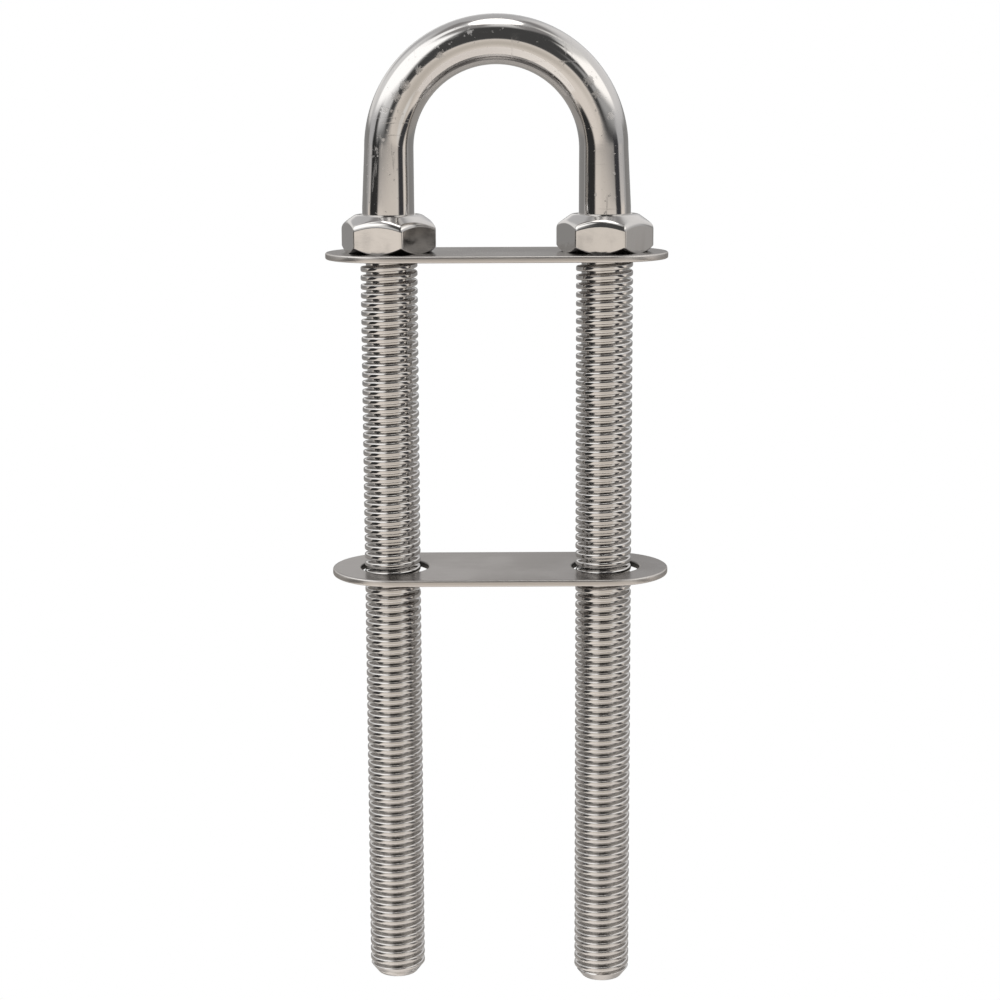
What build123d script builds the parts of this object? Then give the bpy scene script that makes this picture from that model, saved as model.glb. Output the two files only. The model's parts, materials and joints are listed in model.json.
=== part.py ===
from build123d import *
import math
import os

# Bow eye: a bright U-bolt whose bend is the eye, two thin hex nuts, and two loose oblong plates.
# The origin is midway between the legs, on the underside of the face plate, where it meets the hull.
# +X runs from the left leg to the right leg, and +Z runs up through the eye. Sizes are in millimetres.

# U-bolt: plain rod in the eye and through the nuts, thread crests below them. The rod is as thick as the
# thread's pitch cylinder, because the thread is rolled on it.
leg_spacing = 47.6
rod_diameter = 11.45
thread_diameter = 12.6
leg_length = 166.5
leg_unevenness = 0.6
tip_chamfer_width = 1.7
tip_chamfer_height = 2.2
runout_length = 1.2

# The bend is drawn in a little from the legs, and its section is thinner than it is wide
bend_height = 23.9
bend_draw_in = 0.3
bend_thickness = 10.8
shank_straight = 1.5

# Nuts: the crown face is chamfered nearly to the bore, the seat only at its corners
nut_flats = 18.75
nut_height = 8.25
nut_crown_width = 14.6
nut_crown_angle = 35.0
nut_seat_width = 18.6
nut_seat_angle = 45.0
nut_mouth_chamfer = 0.3
left_nut_turn = -12.6
right_nut_turn = -8.8

# Plates: both are the same pressing
plate_width = 28.0
plate_thickness = 1.5
plate_edge_break = 0.35

# The clear space between the plates, where the hull goes
plate_gap = 69.4

# Named clearances, each at the radius
nut_running_clearance = 0.05
plate_hole_clearance = 1.25

# What follows from them
leg_x = leg_spacing / 2
rod_radius = rod_diameter / 2
thread_radius = thread_diameter / 2
bend_radius = leg_x - bend_draw_in
nut_seat_z = plate_thickness
shank_foot_z = nut_seat_z + nut_height + shank_straight
nut_bore_radius = rod_radius + nut_running_clearance
plate_hole_radius = thread_radius + plate_hole_clearance


def bend():
    """The half ring of the eye, turned from an oval section about an axis along Y."""
    section = Plane.XY * Pos(bend_radius, 0) * Ellipse(bend_thickness / 2, rod_radius)
    half_ring = revolve(section, Axis.Y, -180)
    return Pos(0, 0, bend_height) * half_ring


def shank(side):
    """The plain rod from the bend down through the nut: oval at the bend, round from its foot on."""
    oval = Pos(side * bend_radius, 0, bend_height) * Ellipse(bend_thickness / 2, rod_radius)
    foot = Pos(side * leg_x, 0, shank_foot_z) * Circle(rod_radius)
    tapered = loft([foot, oval], ruled=True)
    straight = extrude(Pos(side * leg_x, 0, nut_seat_z) * Circle(rod_radius), shank_foot_z - nut_seat_z)
    return tapered + straight


def leg(side):
    """The threaded leg, as a bar over the thread crests, up to the nut's seat, with a chamfered tip."""
    end_z = -(leg_length + side * leg_unevenness)
    profile = Polyline(
        (0, end_z),
        (thread_radius - tip_chamfer_width, end_z),
        (thread_radius, end_z + tip_chamfer_height),
        (thread_radius, nut_seat_z - runout_length),
        (rod_radius, nut_seat_z),
        (0, nut_seat_z),
        close=True,
    )
    bar = revolve(Plane.XZ * make_face(profile), Axis.Z)
    return Pos(side * leg_x, 0) * bar


def u_bolt():
    solid = bend()
    for side in (-1, 1):
        solid = solid + shank(side) + leg(side)
    return solid


def nut_envelope():
    """The turned shape that trims the hexagon: a long cone at the crown, a short one at the seat."""
    corner_radius = nut_flats / math.sqrt(3)
    crown_radius = nut_crown_width / 2
    seat_radius = nut_seat_width / 2
    crown_drop = (corner_radius - crown_radius) * math.tan(math.radians(nut_crown_angle))
    seat_rise = (corner_radius - seat_radius) * math.tan(math.radians(nut_seat_angle))
    mouth_radius = nut_bore_radius + nut_mouth_chamfer
    profile = Polyline(
        (nut_bore_radius, nut_mouth_chamfer),
        (mouth_radius, 0),
        (seat_radius, 0),
        (corner_radius, seat_rise),
        (corner_radius, nut_height - crown_drop),
        (crown_radius, nut_height),
        (mouth_radius, nut_height),
        (nut_bore_radius, nut_height - nut_mouth_chamfer),
        close=True,
    )
    return revolve(Plane.XZ * make_face(profile), Axis.Z)


def nut(side, turn):
    """A thin hex nut on one leg, seated on the face plate."""
    hexagon = extrude(RegularPolygon(nut_flats / 2, 6, major_radius=False), nut_height)
    blank = Rot(0, 0, turn) * hexagon
    return Pos(side * leg_x, 0, nut_seat_z) * (blank & nut_envelope())


def plate(top_z):
    """An oblong plate with round ends and one hole for each leg, its top face at top_z."""
    outline = SlotCenterToCenter(leg_spacing, plate_width)
    slab = extrude(outline, plate_thickness)
    slab = chamfer(slab.edges(), plate_edge_break)
    hole = extrude(Circle(plate_hole_radius), plate_thickness)
    for side in (-1, 1):
        slab = slab - Pos(side * leg_x, 0) * hole
    return Pos(0, 0, top_z - plate_thickness) * slab


parts = {
    "u_bolt": u_bolt(),
    "left_nut": nut(-1, left_nut_turn),
    "right_nut": nut(1, right_nut_turn),
    "face_plate": plate(plate_thickness),
    "backing_plate": plate(-plate_gap),
}

os.makedirs("parts", exist_ok=True)
for name, shape in parts.items():
    export_step(shape, f"parts/{name}.step")
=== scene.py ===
# %% [markdown]
# # A bow eye in polished stainless steel
# A bow eye is a U-bolt through the stem of a boat: a bright bend to hook a tow rope on, two long threaded
# legs that pass through the hull, thin nuts, and two oblong plates that the hull is clamped between. The CAD
# solids give the places and sizes. This script gives the pieces their rolled thread, rounded edges, scratches
# and light.

# %% Load the frame
import json
import math
import bmesh
import bpy
import numpy as np
from mathutils import Matrix, Vector


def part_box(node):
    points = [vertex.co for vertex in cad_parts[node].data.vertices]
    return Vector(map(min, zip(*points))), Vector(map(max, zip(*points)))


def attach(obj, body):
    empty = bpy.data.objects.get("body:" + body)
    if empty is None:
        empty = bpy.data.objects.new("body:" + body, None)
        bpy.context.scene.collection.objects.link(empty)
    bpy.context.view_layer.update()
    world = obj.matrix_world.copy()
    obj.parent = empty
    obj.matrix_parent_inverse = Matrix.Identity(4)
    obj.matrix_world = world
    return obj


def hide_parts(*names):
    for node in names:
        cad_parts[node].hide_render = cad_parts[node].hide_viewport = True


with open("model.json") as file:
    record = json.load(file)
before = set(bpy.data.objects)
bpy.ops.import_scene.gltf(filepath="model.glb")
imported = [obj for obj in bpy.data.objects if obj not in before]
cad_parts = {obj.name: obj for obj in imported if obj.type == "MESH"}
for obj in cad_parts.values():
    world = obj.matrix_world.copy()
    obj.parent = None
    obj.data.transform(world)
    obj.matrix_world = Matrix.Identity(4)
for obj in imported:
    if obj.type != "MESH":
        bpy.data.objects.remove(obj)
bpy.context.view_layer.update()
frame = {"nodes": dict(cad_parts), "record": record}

mm = 0.001

# %% [markdown]
# ## Sizes
# Every place comes from the CAD solids or from the record's mounts, so that the pieces stay on them. What the
# solids leave out, such as the form of the thread, is named here in millimetres times mm.

# %% Sizes from the frame
mounts = {mount["name"]: mount for mount in frame["record"]["mounts"]}
studs = mounts["threaded_legs"]["dims"]
leg_x = studs["spacing_x_mm"] / 2 * mm
crest_radius = studs["stud_r_mm"] * mm
bolt_low, bolt_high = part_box("u_bolt")
face_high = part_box("face_plate")[1]
print("legs at x =", leg_x, "crests of radius", crest_radius)

# %% Sizes of the rod and its thread
rod_radius = 5.725 * mm
bend_thickness = 10.8 * mm
bend_draw_in = 0.3 * mm
nut_height = 8.25 * mm
shank_straight = 1.5 * mm
shank_foot_z = face_high.z + nut_height + shank_straight
bend_radius = leg_x - bend_draw_in
bend_z = bolt_high.z - bend_thickness / 2 - bend_radius
thread_pitch = 25.4 / 13 * mm
thread_depth = 1.2 * mm
crest_flat = 0.23 * mm
crest_round = 0.42 * mm
flank_angle = math.radians(10)
root_fillet = 0.05 * mm
tip_chamfer_width = 1.7 * mm
tip_chamfer_height = 2.2 * mm
leg_unevenness = 0.6 * mm
columns = 32
print("bend centre at z =", round(bend_z, 5))

# %% [markdown]
# ## Formulas that read like formulas
# A node tree is a formula drawn as boxes. This small class wraps the output of a node, so that sums are
# written with plain signs, and one method makes every other node. The same two classes serve geometry,
# materials and the world, because the maths nodes are the same in all three.

# %% Node helpers
class Value:
    """The output of a node, which can be added, multiplied and so on."""

    def __init__(self, graph, socket):
        self.graph = graph
        self.socket = socket

    def out(self, name):
        """Another output of the same node."""
        return Value(self.graph, self.socket.node.outputs[name])

    def __add__(self, other):
        return self.graph.math("ADD", self, other)

    def __radd__(self, other):
        return self.graph.math("ADD", other, self)

    def __sub__(self, other):
        return self.graph.math("SUBTRACT", self, other)

    def __rsub__(self, other):
        return self.graph.math("SUBTRACT", other, self)

    def __mul__(self, other):
        return self.graph.math("MULTIPLY", self, other)

    def __rmul__(self, other):
        return self.graph.math("MULTIPLY", other, self)

    def __truediv__(self, other):
        return self.graph.math("DIVIDE", self, other)


class Graph:
    """One node tree that is being written."""

    def __init__(self, tree):
        self.tree = tree

    def put(self, socket, value):
        if isinstance(value, Value):
            self.tree.links.new(value.socket, socket)
        else:
            socket.default_value = value

    def node(self, kind, settings=None, values=None, output=0):
        """Makes a node: its settings first, then the values or links of its sockets."""
        made = self.tree.nodes.new(kind)
        for name, setting in (settings or {}).items():
            setattr(made, name, setting)
        for name, value in (values or {}).items():
            self.put(made.inputs[name], value)
        return Value(self, made.outputs[output])

    def math(self, operation, *terms):
        return self.node("ShaderNodeMath", {"operation": operation}, dict(enumerate(terms)))

    def drawn(self, value, heights):
        """A line drawn through heights at equal steps of value from 0 to 1."""
        made = self.node("ShaderNodeFloatCurve", None, {"Value": value})
        mapping = made.socket.node.mapping
        points = mapping.curves[0].points
        while len(points) < len(heights):
            points.new(0.5, 0.5)
        for index, (point, height) in enumerate(zip(points, heights)):
            point.location = (index / (len(heights) - 1), height)
            point.handle_type = "VECTOR"
        mapping.update()
        return made

    def step(self, value, low, high, start=0.0, end=1.0):
        """A soft step: start below low, end above high."""
        values = {"Value": value, "From Min": low, "From Max": high, "To Min": start, "To Max": end}
        return self.node("ShaderNodeMapRange", {"interpolation_type": "SMOOTHSTEP"}, values)

    def blend(self, factor, first, second):
        """Mixes two colours."""
        mixed = self.node("ShaderNodeMix", {"data_type": "RGBA"}, {0: factor, 6: first, 7: second}, 2)
        return mixed


print("node helpers ready")

# %% [markdown]
# ## The rolled thread
# A thread is a groove that climbs one pitch for each turn. It could be a screw modifier or a helical sweep,
# but both leave the ends ragged. Here Geometry Nodes bend a flat grid into a tube: across the grid is once
# round the leg, and up the grid is along it. Each column is lifted a little more than the last, so that after
# one turn the rows meet the rows one pitch higher, and the crests climb. Rows past the tip are drawn in to
# close it.

# %% The threaded leg as a tree
leg_tree = bpy.data.node_groups.new("threaded_leg", "GeometryNodeTree")
leg_tree.interface.new_socket("Geometry", in_out="OUTPUT", socket_type="NodeSocketGeometry")
leg_inputs = {}
for input_name, input_kind in (
    ("Columns", "Int"),
    ("Rows", "Int"),
    ("Rows per Turn", "Int"),
    ("Centre X", "Float"),
    ("Start Z", "Float"),
    ("Tip Z", "Float"),
    ("Top Z", "Float"),
    ("Pitch", "Float"),
    ("Crest Radius", "Float"),
    ("Root Radius", "Float"),
    ("Rod Radius", "Float"),
    ("Material", "Material"),
):
    leg_inputs[input_name] = leg_tree.interface.new_socket(
        input_name, in_out="INPUT", socket_type="NodeSocket" + input_kind
    )

leg = Graph(leg_tree)
entry = leg_tree.nodes.new("NodeGroupInput")
size = {name: Value(leg, entry.outputs[name]) for name in leg_inputs}
grid_sizes = {
    "Size X": size["Columns"],
    "Size Y": size["Rows"],
    "Vertices X": size["Columns"] + 1,
    "Vertices Y": size["Rows"] + 1,
}
flat_grid = leg.node("GeometryNodeMeshGrid", None, grid_sizes)
place = leg.node("ShaderNodeSeparateXYZ", None, {0: leg.node("GeometryNodeInputPosition")})
print("the leg's tree has", len(leg_inputs), "inputs")

# %% [markdown]
# The photographed thread has fat round crests on steep flanks, with a flat valley between them. Half of its
# profile is a short list of points from the crest's middle to the valley's, and two drawn lines look up how
# far along and how deep each row lies. The tip's chamfer trims it, and the run-out below the nut fades it
# into plain rod.

# %% Half of the thread's profile
swings = np.linspace(0, math.pi / 2 - flank_angle, 5)
half_profile = [(0, 0)]
for swing in swings:
    half_profile.append((crest_flat + crest_round * math.sin(swing), crest_round * (1 - math.cos(swing))))
flank_end = half_profile[-1][0] + (thread_depth - half_profile[-1][1]) * math.tan(flank_angle)
for along in (flank_end, flank_end + root_fillet, thread_pitch / 2):
    half_profile.append((along, thread_depth))
rows_per_turn = 2 * (len(half_profile) - 1)
print("valley", round((thread_pitch - 2 * flank_end) / mm, 2), "mm wide,", rows_per_turn, "rows to a turn")

# %% The thread's profile
turn = place / size["Columns"] + 0.5
rows_up = (place.out("Y") + size["Rows"] / 2) / size["Rows per Turn"]
signed = leg.math("FRACT", rows_up) - 0.5
row_share = leg.math("ABSOLUTE", signed) * 2
along = leg.drawn(row_share, [2 * point[0] / thread_pitch for point in half_profile])
depth = leg.drawn(row_share, [point[1] / thread_depth for point in half_profile])

crest_turn = leg.math("FLOOR", rows_up) + 0.5 + 0.5 * along * leg.math("SIGN", signed)
free_z = size["Start Z"] + size["Pitch"] * (crest_turn + turn)
height = leg.math("MINIMUM", leg.math("MAXIMUM", free_z, size["Tip Z"]), size["Top Z"])
threaded = size["Crest Radius"] - depth * (size["Crest Radius"] - size["Root Radius"])

tip_share = leg.math("MINIMUM", (height - size["Tip Z"]) / tip_chamfer_height, 1.0)
tip_radius = size["Crest Radius"] - tip_chamfer_width * (1 - tip_share)
trimmed = leg.math("MINIMUM", threaded, tip_radius)
run_out = leg.step(size["Top Z"] - height, 0.0, thread_pitch / 2)
faded = size["Rod Radius"] + (trimmed - size["Rod Radius"]) * run_out
is_beyond_tip = leg.math("LESS_THAN", free_z, size["Tip Z"] - size["Pitch"] / 2)
radius = faded * (1 - is_beyond_tip)
print("profile written")

# %% The tube, its closed tip and its material
angle = turn * math.tau
round_place = {
    "X": size["Centre X"] + radius * leg.math("COSINE", angle),
    "Y": radius * leg.math("SINE", angle),
    "Z": height,
}
bent = leg.node(
    "GeometryNodeSetPosition",
    None,
    {"Geometry": flat_grid, "Position": leg.node("ShaderNodeCombineXYZ", None, round_place)},
)
welded = leg.node("GeometryNodeMergeByDistance", None, {"Geometry": bent, "Distance": 0.004 * mm})
facing = leg.node("ShaderNodeSeparateXYZ", None, {0: leg.node("GeometryNodeInputNormal")}).out("Z")
smooth = leg.node(
    "GeometryNodeSetShadeSmooth",
    None,
    {"Geometry": welded, "Shade Smooth": leg.math("GREATER_THAN", facing, -0.95)},
)
solid = leg.node("GeometryNodeRealizeInstances", None, {"Geometry": smooth})
painted = leg.node("GeometryNodeSetMaterial", None, {"Geometry": solid, "Material": size["Material"]})
leave = leg_tree.nodes.new("NodeGroupOutput")
leg_tree.links.new(painted.socket, leave.inputs[0])
print("the leg's tree has", len(leg_tree.nodes), "nodes")

# %% [markdown]
# ## Materials
# All three finishes are bare stainless steel. What tells them apart is how rough they are and how they are
# marked. The rod is mirror-polished, scratched and nicked by shackles, and duller down the legs. The nuts
# carry smudges from the wrench and painted shade on their downward faces under the seat. The plates are satin
# sheet, brushed along their length, with a mottled skin on the faces, bright tumbled edges and painted shade
# on the walls of the holes.

# %% A material's frame
def new_material(name, colour, roughness):
    """A metal with constant values on the shader, and the graph to vary them with."""
    material = bpy.data.materials.new(name)
    material.use_nodes = True
    graph = Graph(material.node_tree)
    shader = material.node_tree.nodes["Principled BSDF"]
    shader.inputs["Metallic"].default_value = 1.0
    shader.inputs["Base Color"].default_value = (*colour, 1)
    shader.inputs["Roughness"].default_value = roughness
    return material, graph, shader


def object_place(graph, stretch, turn_by=(0, 0, 0)):
    """Object coordinates, turned and stretched, for a pattern."""
    place = graph.node("ShaderNodeTexCoord", None, None, "Object")
    values = {"Vector": place, "Scale": stretch, "Rotation": turn_by}
    return graph.node("ShaderNodeMapping", None, values)


def noise(graph, stretch, turn_by=(0, 0, 0), detail=3.0):
    """Soft noise from 0 to 1, with the given number of patches in a metre along each axis."""
    values = {"Vector": object_place(graph, stretch, turn_by), "Scale": 1.0, "Detail": detail}
    return graph.node("ShaderNodeTexNoise", None, values)


def split(graph, kind):
    """The X of a texture coordinate, with Y and Z as its other outputs."""
    return graph.node("ShaderNodeSeparateXYZ", None, {0: graph.node("ShaderNodeTexCoord", None, None, kind)})


print("material helpers ready")

# %% Scratches on the rod
rod_steel, g, shader = new_material("polished_rod", (0.60, 0.585, 0.57), 0.07)
fine = g.step(noise(g, (90, 1500, 90), (0.2, 0.5, 0.6)), 0.60, 0.68)
cross = g.step(noise(g, (1300, 70, 110), (0.5, 0.2, 0.9)), 0.63, 0.70)
along = g.step(noise(g, (60, 80, 1700), (0.1, 0.35, 0.0)), 0.63, 0.71)
worn = g.step(noise(g, (55, 55, 55)), 0.42, 0.62)
up = split(g, "Object").out("Z")
bare = g.step(up, 0.0, 2 * mm, 0.12, 1.0)
scratched = g.math("MAXIMUM", g.math("MAXIMUM", fine, cross), along) * (0.35 + 0.65 * worn) * bare
specks = g.step(noise(g, (1000, 1000, 1000), detail=1.0), 0.70, 0.74) * bare
haze = noise(g, (120, 120, 120), detail=5.0)
print("scratches ready")

# %% [markdown]
# Where shackles have knocked the front of the bend there are ragged nicks. Each is a place and a size in
# millimetres, and its edge is the distance to that place, made uneven by noise.

# %% Nicks on the bend
knocks = [
    (-5.5, -5.3, 48.7, 0.9), (-12.0, -5.7, 43.9, 1.1), (-16.6, -5.7, 40.8, 1.1), (-19.6, -5.7, 37.6, 1.6),
    (-21.7, -5.6, 35.2, 1.4), (-24.0, -5.3, 32.4, 1.0), (-26.1, -5.0, 23.9, 0.8),
    (20.1, -5.5, 38.5, 1.5), (21.7, -5.6, 35.5, 1.2), (24.8, -5.2, 31.0, 1.2),
]
rod_place = g.node("ShaderNodeTexCoord", None, None, "Object")
ragged = 2.2 * mm * (noise(g, (1900, 900, 1900), (0.0, 0.6, 0.0), detail=4.0) - 0.5)
nicks = 0.0 * up
for x, y, z, reach in knocks:
    centre = {0: rod_place, 1: (x * mm, y * mm, z * mm)}
    away = g.node("ShaderNodeVectorMath", {"operation": "DISTANCE"}, centre, "Value") + ragged
    nicks = g.math("MAXIMUM", nicks, g.step(away, 0.3 * reach * mm, reach * mm, 1.0, 0.0))
print(len(knocks), "nicks on the bend")

# %% Polished rod
dulled = g.step(up, -150 * mm, -40 * mm, 1.0, 0.0)
rough = 0.05 + 0.06 * haze + 0.22 * scratched + 0.25 * specks + 0.3 * nicks + 0.15 * dulled
g.put(shader.inputs["Roughness"], rough)
relief = 0.0 - scratched - 0.6 * specks - 4.0 * nicks
bump = g.node("ShaderNodeBump", None, {"Height": relief, "Strength": 0.12, "Distance": 0.02 * mm})
g.put(shader.inputs["Normal"], bump)
print("polished rod ready")

# %% Nut steel
nut_colour = (0.635, 0.618, 0.60)
# Painted shade: a near-black colour for the nut's downward faces under the seat.
painted_seat_shade_colour = (0.10, 0.095, 0.09)
nut_steel, g, shader = new_material("nut_steel", nut_colour, 0.10)
smudge = noise(g, (160, 160, 160), detail=6.0)
grain = noise(g, (700, 700, 2600), detail=2.0)
g.put(shader.inputs["Roughness"], 0.07 + 0.10 * g.step(smudge, 0.45, 0.68) + 0.03 * grain)
relief = smudge + 0.3 * grain
bump = g.node("ShaderNodeBump", None, {"Height": relief, "Strength": 0.15, "Distance": 0.05 * mm})
g.put(shader.inputs["Normal"], bump)
# The downward faces at the seat get the near-black colour, which is painted shade where the nut sits on the
# plate.
painted_seat_shade_mask = g.step(split(g, "Normal").out("Z"), -0.62, -0.3, 1.0, 0.0)
g.put(shader.inputs["Base Color"], g.blend(painted_seat_shade_mask, (*nut_colour, 1), (*painted_seat_shade_colour, 1)))
print("nut steel ready")

# %% Satin plate
dark_skin = (0.29, 0.275, 0.265, 1)
light_skin = (0.41, 0.395, 0.385, 1)
tumbled_edge = (0.60, 0.575, 0.55, 1)
# Painted shade: a near-black colour for the walls of the holes.
painted_hole_shade_colour = (0.05, 0.048, 0.045, 1)
plate_steel, g, shader = new_material("satin_plate", (0.40, 0.39, 0.385), 0.20)
shader.inputs["Specular Tint"].default_value = (0.75, 0.74, 0.73, 1)
brushed = noise(g, (30, 2200, 2200), detail=3.0)
cloud = noise(g, (45, 45, 45), detail=4.0)
is_face = g.step(g.math("ABSOLUTE", split(g, "Normal").out("Z")), 0.75, 0.97)
sheet_place = split(g, "Object")
from_leg = g.math("ABSOLUTE", sheet_place) - leg_x
from_middle = sheet_place.out("Y")
from_axis = g.math("SQRT", from_leg * from_leg + from_middle * from_middle)
# The walls of the holes get the near-black colour, which is painted shade inside the holes. The other edges
# keep the tumbled steel colour.
is_hole_wall = g.step(from_axis, 7.9 * mm, 8.6 * mm, 1.0, 0.0)
skin = g.blend(g.step(cloud, 0.35, 0.65), dark_skin, light_skin)
edge_steel_and_hole_shade = g.blend(is_hole_wall, tumbled_edge, painted_hole_shade_colour)
g.put(shader.inputs["Base Color"], g.blend(is_face, edge_steel_and_hole_shade, skin))
g.put(shader.inputs["Roughness"], 0.24 - 0.12 * is_face + 0.10 * brushed + 0.10 * cloud)
bump = g.node("ShaderNodeBump", None, {"Height": brushed, "Strength": 0.15, "Distance": 0.03 * mm})
g.put(shader.inputs["Normal"], bump)
print("satin plate ready")

# %% [markdown]
# ## Turning a tree into a mesh
# The finished object must be a plain mesh, so the tree is run once for each leg and its result copied out.

# %% The two legs
def run_tree(name, tree, inputs, values):
    """Runs a geometry tree on an empty mesh and returns the result as a mesh."""
    holder = bpy.data.objects.new(name, bpy.data.meshes.new(name))
    bpy.context.scene.collection.objects.link(holder)
    modifier = holder.modifiers.new(name, "NODES")
    modifier.node_group = tree
    for input_name, value in values.items():
        modifier[inputs[input_name].identifier] = value
    evaluated = holder.evaluated_get(bpy.context.evaluated_depsgraph_get())
    mesh = bpy.data.meshes.new_from_object(evaluated)
    bpy.data.objects.remove(holder)
    return mesh


def leg_mesh(side, crest_z):
    """One threaded leg. crest_z is the height of a crest's middle on the leg's +X side."""
    tip_z = bolt_low.z + leg_unevenness * (1 - side)
    top_z = face_high.z
    turns_below = math.ceil((crest_z - tip_z) / thread_pitch) + 2
    start_z = crest_z - thread_pitch * (turns_below + 0.5)
    turns = math.ceil((top_z - start_z) / thread_pitch)
    values = {
        "Columns": columns,
        "Rows": turns * rows_per_turn,
        "Rows per Turn": rows_per_turn,
        "Centre X": side * leg_x,
        "Start Z": start_z,
        "Tip Z": tip_z,
        "Top Z": top_z,
        "Pitch": thread_pitch,
        "Crest Radius": crest_radius,
        "Root Radius": crest_radius - thread_depth,
        "Rod Radius": rod_radius,
        "Material": rod_steel,
    }
    return run_tree("leg", leg_tree, leg_inputs, values)


left_leg = leg_mesh(-1, -1.26 * mm)
right_leg = leg_mesh(1, -1.26 * mm)
print("legs of", len(left_leg.polygons), "and", len(right_leg.polygons), "faces")

# %% [markdown]
# ## The bright eye
# The eye is plain rod, bent cold. Bending thins it, so its section is oval: 10.8 mm across the bend and
# 11.45 mm through it. A bevelled curve would give a round section, so the tube is made of rings of points
# that follow the legs and the half circle. It has as many columns as the thread, and the two weld into one.

# %% Rings into a mesh
def mesh_of_rings(name, rings, wraps_up=False):
    """Quads between rings of points. rings has the shape (rings, points, 3)."""
    ring_count, point_count = rings.shape[:2]
    corners = np.arange(ring_count * point_count).reshape(ring_count, point_count)
    upper = np.roll(corners, -1, 0)
    if not wraps_up:
        corners, upper = corners[:-1], upper[:-1]
    quads = np.stack([corners, np.roll(corners, -1, 1), np.roll(upper, -1, 1), upper], -1)
    mesh = bpy.data.meshes.new(name)
    mesh.from_pydata(rings.reshape(-1, 3).tolist(), [], quads.reshape(-1, 4).tolist())
    mesh.polygons.foreach_set("use_smooth", [True] * len(mesh.polygons))
    return mesh


def welded_object(name, meshes, material):
    """Joins meshes, merges the points that they share and turns the faces outwards."""
    shell = bmesh.new()
    for mesh in meshes:
        shell.from_mesh(mesh)
    bmesh.ops.remove_doubles(shell, verts=shell.verts, dist=0.004 * mm)
    bmesh.ops.recalc_face_normals(shell, faces=shell.faces)
    open_edges = sum(edge.is_boundary for edge in shell.edges)
    joined = bpy.data.meshes.new(name)
    shell.to_mesh(joined)
    shell.free()
    joined.materials.clear()
    joined.materials.append(material)
    joined.polygons.foreach_set("material_index", [0] * len(joined.polygons))
    made = bpy.data.objects.new(name, joined)
    bpy.context.scene.collection.objects.link(made)
    print(name, "has", len(joined.polygons), "faces and", open_edges, "open edges")
    return made


# %% The eye
def eye_rings():
    """Rings from the left nut's seat, over the bend, to the right nut's seat."""
    around = np.arange(columns) * math.tau / columns
    straight = np.linspace(face_high.z, shank_foot_z, 6)
    tapered = np.linspace(shank_foot_z, bend_z, 8)[1:]
    heights = np.concatenate([straight, tapered])
    path = []
    for z in heights:
        taper = max(0.0, (z - shank_foot_z) / (bend_z - shank_foot_z))
        reach = leg_x + (bend_radius - leg_x) * taper
        thin = rod_radius + (bend_thickness / 2 - rod_radius) * taper
        path.append((0.0, reach, z, thin))
    bend = [(swing, bend_radius, bend_z, bend_thickness / 2) for swing in np.linspace(0, math.pi, 97)[1:-1]]
    back_down = [(math.pi, reach, z, thin) for swing, reach, z, thin in reversed(path)]
    rings = []
    for swing, reach, z, thin in path + bend + back_down:
        outward = np.array([-math.cos(swing), 0, math.sin(swing)])
        centre = np.array([0, 0, z]) + reach * outward
        across = np.cos(around)[:, None] * thin * outward
        through = np.sin(around)[:, None] * rod_radius * np.array([0, 1, 0])
        rings.append(centre + across + through)
    return np.array(rings)


u_bolt = welded_object("u_bolt_dressed", [left_leg, right_leg, mesh_of_rings("eye", eye_rings())], rod_steel)
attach(u_bolt, "u_bolt")
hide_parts("u_bolt")

# %% [markdown]
# ## The nuts
# A thin nut is a hexagon turned in a lathe: a long chamfer at the crown, a short one at the seat. Cutting
# those shapes from each other leaves knife edges, and a real nut is tumbled. So the outline is written as a
# formula: the hexagon's radius at each angle, softened at the corners, and for that radius the profile from
# the bore round the outside and back, with every corner of the profile rounded.

# %% The hexagon and the rounded profile
nut_flat_radius = 9.375 * mm
nut_crown_radius = 7.3 * mm
nut_seat_radius = 9.4 * mm
nut_bore_radius = 5.775 * mm
nut_mouth = 0.3 * mm
nut_edge_reach = 0.16 * mm
nut_crown_reach = 0.6 * mm
nut_dome_reach = 0.95 * mm
crown_slope = math.tan(math.radians(35))
half_face = [0, 7, 14, 20, 24.5, 27, 28.2, 28.8, 29.3, 29.7]


def hexagon_radius(angle_from_face):
    """The distance to the side of the hexagon, softened where two faces meet."""
    near = nut_flat_radius / math.cos(angle_from_face)
    far = nut_flat_radius / math.cos(math.radians(60) - abs(angle_from_face))
    soft = 0.4 * mm
    overlap = max(soft - abs(near - far), 0) / soft
    return min(near, far) - overlap * overlap * soft / 4


def rounded(points, reaches):
    """The closed profile with a curve and two holding points at each corner."""
    result = []
    befores = points[-1:] + points[:-1]
    afters = points[1:] + points[:1]
    for before, corner, after, wanted in zip(befores, points, afters, reaches):
        reach = min(wanted, 0.45 * (before - corner).length, 0.45 * (after - corner).length)
        start = corner + (before - corner).normalized() * reach
        end = corner + (after - corner).normalized() * reach
        result.append(start + (start - corner) * 0.1)
        for share in (0, 0.2, 0.4, 0.6, 0.8, 1):
            result.append(start.lerp(corner, share).lerp(corner.lerp(end, share), share))
        result.append(end + (end - corner) * 0.1)
    return result


print("nut profile ready")

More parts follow.
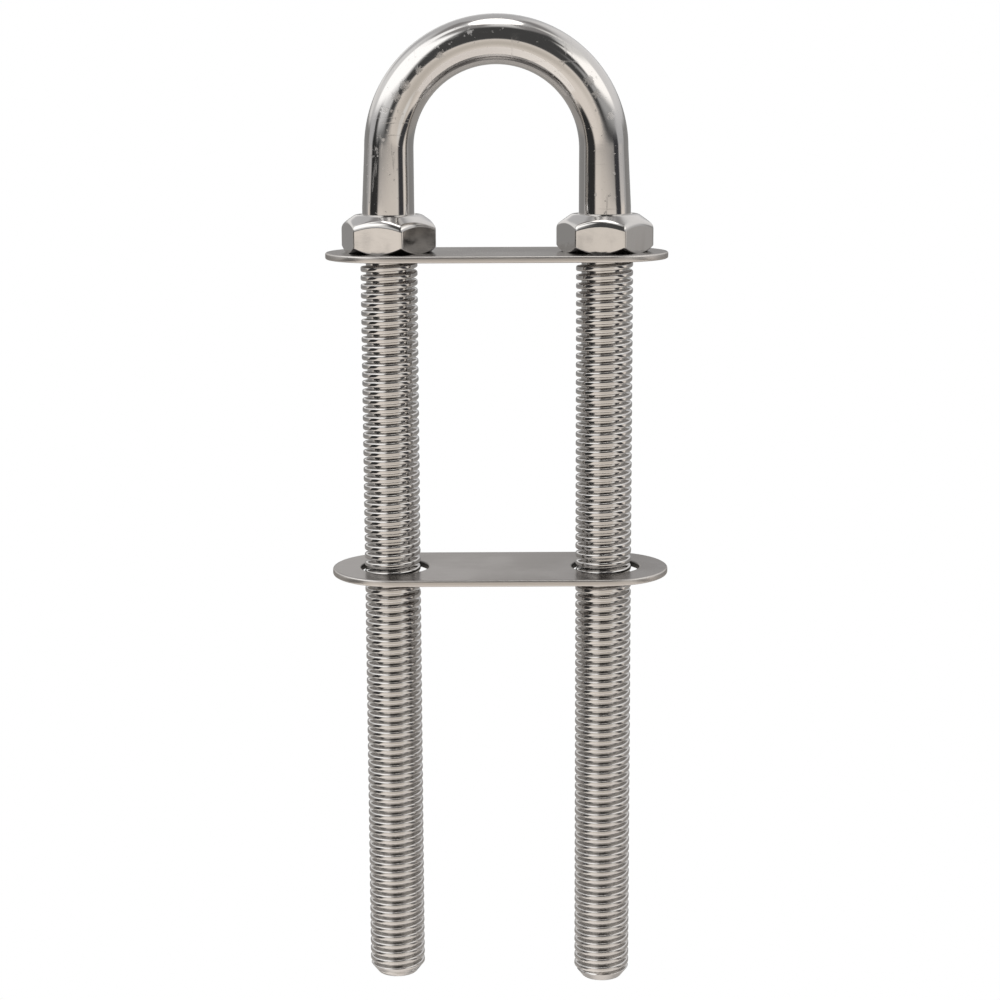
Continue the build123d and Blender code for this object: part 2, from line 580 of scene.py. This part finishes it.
# %% Both nuts
def nut_rings(node, side):
    """The nut's columns as rings, with its corners where the CAD nut has them."""
    points = np.array([vertex.co for vertex in frame["nodes"][node].data.vertices])
    points[:, 0] -= side * leg_x
    distance = np.hypot(points[:, 0], points[:, 1])
    corner = points[distance.argmax()]
    face_angle = math.atan2(corner[1], corner[0]) + math.radians(30)
    seat_z = points[:, 2].min()
    steps = sorted({sign * angle for sign in (-1, 1) for angle in half_face} | {30})
    fine = nut_edge_reach
    nut_reaches = [fine, fine, fine, fine, nut_dome_reach, nut_crown_reach, fine, fine]
    columns_round = []
    for face in range(6):
        for step in steps:
            out = hexagon_radius(math.radians(step))
            profile = [
                Vector((nut_bore_radius, nut_mouth)),
                Vector((nut_bore_radius + nut_mouth, 0)),
                Vector((nut_seat_radius, 0)),
                Vector((out, out - nut_seat_radius)),
                Vector((out, nut_height - (out - nut_crown_radius) * crown_slope)),
                Vector((nut_crown_radius, nut_height)),
                Vector((nut_bore_radius + nut_mouth, nut_height)),
                Vector((nut_bore_radius, nut_height - nut_mouth)),
            ]
            angle = face_angle + math.radians(60 * face + step)
            x_part, y_part = math.cos(angle), math.sin(angle)
            outline = rounded(profile, nut_reaches)
            column = [(side * leg_x + p.x * x_part, p.x * y_part, seat_z + p.y) for p in outline]
            columns_round.append(column)
    return np.array(columns_round)


for nut_node, nut_side in (("left_nut", -1), ("right_nut", 1)):
    shell = mesh_of_rings(nut_node, nut_rings(nut_node, nut_side), wraps_up=True)
    nut = welded_object(nut_node + "_dressed", [shell], nut_steel)
    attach(nut, nut_node)
    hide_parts(nut_node)

# %% [markdown]
# ## The plates
# Both plates are the same pressing. A flat curve with its holes, extruded and bevelled, gives tumbled edges
# on the outline and the holes at once, which cutting a solid wouldn't. The backing plate hangs loose on the
# threads, so it sits a little to the right and dips a degree towards the viewer.

# %% Plate outline and mesh
hole_radius = 7.55 * mm
plate_edge_radius = 0.42 * mm
backing_shift = 0.5 * mm
backing_dip = math.radians(1.1)


def add_outline(curve, points):
    spline = curve.splines.new("POLY")
    spline.points.add(len(points) - 1)
    for point, (x, y) in zip(spline.points, points):
        point.co = (x, y, 0, 1)
    spline.use_cyclic_u = True


def arc(centre_x, radius, start, end, count):
    """Points along an arc, in degrees."""
    angles = np.radians(np.linspace(start, end, count))
    return [(centre_x + radius * math.cos(a), radius * math.sin(a)) for a in angles]


def plate_mesh(name, low, high):
    """A slot-shaped plate with two holes between the CAD plate's lowest and highest corner."""
    end_radius = (high.y - low.y) / 2
    curve = bpy.data.curves.new(name, "CURVE")
    curve.dimensions = "2D"
    curve.fill_mode = "BOTH"
    curve.bevel_depth = plate_edge_radius
    curve.bevel_resolution = 3
    curve.extrude = (high.z - low.z) / 2 - plate_edge_radius
    curve.offset = -plate_edge_radius
    add_outline(curve, arc(leg_x, end_radius, -90, 90, 49) + arc(-leg_x, end_radius, 90, 270, 49))
    for side in (-1, 1):
        add_outline(curve, arc(side * leg_x, hole_radius, 0, 360 * 71 / 72, 72))
    holder = bpy.data.objects.new(name, curve)
    bpy.context.scene.collection.objects.link(holder)
    evaluated = holder.evaluated_get(bpy.context.evaluated_depsgraph_get())
    mesh = bpy.data.meshes.new_from_object(evaluated)
    bpy.data.objects.remove(holder)
    return mesh


# %% Both plates
for plate_node, shift, dip in (("face_plate", 0, 0), ("backing_plate", backing_shift, backing_dip)):
    low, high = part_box(plate_node)
    shell = plate_mesh(plate_node, low, high)
    shell.transform(Matrix.Translation((shift, 0, (low.z + high.z) / 2)) @ Matrix.Rotation(dip, 4, "X"))
    plate = welded_object(plate_node + "_dressed", [shell], plate_steel)
    for polygon in plate.data.polygons:
        polygon.use_smooth = abs(polygon.normal.z) < 0.999
    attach(plate, plate_node)
    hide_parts(plate_node)

# %% [markdown]
# ## The studio
# Polished metal shows its surroundings, so the surroundings are half of the picture. The camera sees plain
# white. The metal sees what stood round it, laid into the world one card over another: a grey wall, a warm
# table, a dark room behind the camera, dark flags, and a softbox at each side. Each card is given by the
# direction of its middle and its half size in degrees. Azimuth 0 is towards the camera and -90 is to the
# left.

# %% World
world = bpy.data.worlds.new("studio")
bpy.context.scene.world = world
world.use_nodes = True
w = Graph(world.node_tree)
background = world.node_tree.nodes["Background"]
direction = w.node("ShaderNodeSeparateXYZ", None, {0: w.node("ShaderNodeTexCoord", None, None, "Generated")})
azimuth = w.math("ARCTAN2", direction, 0 - direction.out("Y")) * math.degrees(1)
elevation = w.math("ARCSINE", direction.out("Z")) * math.degrees(1)

# name: azimuth, half width, elevation, half height, softness, lean, colour
cards = {
    "foot_of_wall": (180, 85, -40, 38, 8, 0, (0.42, 0.40, 0.38)),
    "table": (0, 97, -52, 51, 2, 0, (1.05, 0.97, 0.89)),
    "table_middle": (22, 42, -20, 13, 12, 0, (0.74, 0.68, 0.61)),
    "table_below": (0, 181, -95, 22, 6, 0, (0.98, 0.93, 0.88)),
    "right_gleam": (47, 8, -15, 10, 4, 0, (1.0, 0.97, 0.93)),
    "dark_room": (-10, 67, 31, 32, 3, 0, (0.08, 0.08, 0.08)),
    "left_flag": (-74, 21, -11, 18, 5, 0.9, (0.04, 0.04, 0.04)),
    "right_flag": (70, 13, -10, 18, 4, -1.1, (0.06, 0.06, 0.065)),
    "arch": (0, 150, 66, 7, 4, 0, (0.33, 0.32, 0.32)),
    "top_strip": (8, 16, 70, 9, 8, 0, (1.0, 1.0, 1.0)),
    "left_spill": (-112, 22, 34, 18, 10, 0, (1.0, 1.0, 1.0)),
    "right_spill": (118, 45, 34, 22, 10, 0, (0.95, 0.94, 0.94)),
    "left_low": (-42, 20, 13, 8, 6, 0, (0.85, 0.85, 0.85)),
    "right_low": (42, 24, 13, 7, 5, 0, (0.52, 0.52, 0.52)),
    "right_glow": (76, 26, 46, 8, 5, 0, (1.0, 0.99, 0.97)),
    "right_high": (86, 10, 63, 8, 5, 0, (1.0, 0.99, 0.97)),
    "left_high": (-78, 16, 62, 12, 6, 0, (1.5, 1.5, 1.5)),
    "left_softbox": (-64, 38, 37, 19, 6, 0, (1.7, 1.7, 1.7)),
    "right_softbox": (62, 27, 31, 12, 5, 0, (1.65, 1.62, 1.58)),
    "back_line": (-151, 32, 14, 8, 4, 0, (0.98, 0.97, 0.96)),
    "foot_of_back": (180, 72, -1, 9, 3, 0, (0.33, 0.325, 0.32)),
}


def card_mask(azimuth_middle, half_width, elevation_middle, half_height, softness, lean):
    """1 on the card and 0 off it, with a soft edge. A card that leans shifts sideways as it rises."""
    rise = elevation - elevation_middle
    turned = w.math("ABSOLUTE", w.math("WRAP", azimuth - azimuth_middle - lean * rise, 180.0, -180.0))
    risen = w.math("ABSOLUTE", rise)
    wide = w.step(turned, half_width - softness, half_width + softness, 1.0, 0.0)
    high = w.step(risen, half_height - softness, half_height + softness, 1.0, 0.0)
    return wide * high


seen_by_metal = w.blend(0.0, (0.62, 0.62, 0.63, 1), (0, 0, 0, 1))
for place_and_size in cards.values():
    seen_by_metal = w.blend(card_mask(*place_and_size[:6]), seen_by_metal, (*place_and_size[6], 1))
is_camera = w.node("ShaderNodeLightPath", None, None, "Is Camera Ray")
w.put(background.inputs["Color"], w.blend(is_camera, seen_by_metal, (1, 1, 1, 1)))
print("world of", len(cards), "cards")

# %% [markdown]
# The softbox overhead is a real lamp, because it casts the soft shadow on the floor. The floor is far below,
# where the table would be. It adds a plain glow for the camera and for reflections, so that it looks pale
# without more light on the metal, and the rest of it is lit, so it keeps the shadow.

# %% Softbox and floor
softbox = bpy.data.lights.new("softbox", "AREA")
softbox.shape = "ELLIPSE"
softbox.size = 0.36
softbox.size_y = 0.46
softbox_radiance = 1.4
softbox.color = (1.0, 0.975, 0.95)
softbox.energy = softbox_radiance * math.pi * softbox.size * softbox.size_y
softbox_holder = bpy.data.objects.new("softbox", softbox)
softbox_holder.location = (0, 0, 0.8)
bpy.context.scene.collection.objects.link(softbox_holder)

floor_z = -0.45
floor_half = 0.6
floor_mesh = bpy.data.meshes.new("floor")
quarters = [(-1, -1), (1, -1), (1, 1), (-1, 1)]
floor_corners = [(x * floor_half, y * floor_half, floor_z) for x, y in quarters]
floor_mesh.from_pydata(floor_corners, [], [(0, 1, 2, 3)])
floor = bpy.data.objects.new("floor", floor_mesh)
bpy.context.scene.collection.objects.link(floor)
floor_material, g, shader = new_material("pale_floor", (0.6, 0.57, 0.54), 0.8)
shader.inputs["Metallic"].default_value = 0.0
floor_place = g.node("ShaderNodeSeparateXYZ", None, {0: g.node("ShaderNodeTexCoord", None, None, "Object")})
is_behind = g.step(floor_place.out("Y"), 0.02, 0.12)
is_right = g.step(floor_place, -0.35, 0.15)
table_glow = g.blend(is_right, (0.72, 0.68, 0.64, 1), (0.52, 0.48, 0.45, 1))
metal_glow = g.blend(is_behind, table_glow, (0.02, 0.02, 0.02, 1))
path = g.node("ShaderNodeLightPath", None, None, "Is Camera Ray")
sees_metal_glow = g.math("MAXIMUM", path.out("Is Glossy Ray"), path.out("Is Transmission Ray"))
glow = g.blend(path, g.blend(sees_metal_glow, (0, 0, 0, 1), metal_glow), (0.6, 0.57, 0.55, 1))
g.put(shader.inputs["Emission Color"], glow)
shader.inputs["Emission Strength"].default_value = 1.0
floor_mesh.materials.append(floor_material)
print("floor at z =", floor_z)

# %% [markdown]
# ## The camera
# The photograph was taken from a little above, about half a metre away, with a long lens. The values come
# from fitting a camera to the legs, plates and nuts.

# %% Camera
camera_data = bpy.data.cameras.new("camera")
camera_data.sensor_width = 36.0
camera_data.sensor_fit = "HORIZONTAL"
camera_data.lens = 79.97
camera_data.clip_start = 0.01
camera = bpy.data.objects.new("camera", camera_data)
camera_place = (0.25 * mm, -491.4 * mm, 38.2 * mm)
camera_turn = Matrix.Rotation(math.radians(-0.03), 4, "Z")
camera_tilt = Matrix.Rotation(math.radians(90 - 10.657), 4, "X")
camera_roll = Matrix.Rotation(math.radians(-0.225), 4, "Z")
camera.matrix_world = Matrix.Translation(camera_place) @ camera_turn @ camera_tilt @ camera_roll
bpy.context.scene.collection.objects.link(camera)
bpy.context.scene.camera = camera
bpy.context.scene.view_settings.view_transform = "Standard"
print("camera ready")
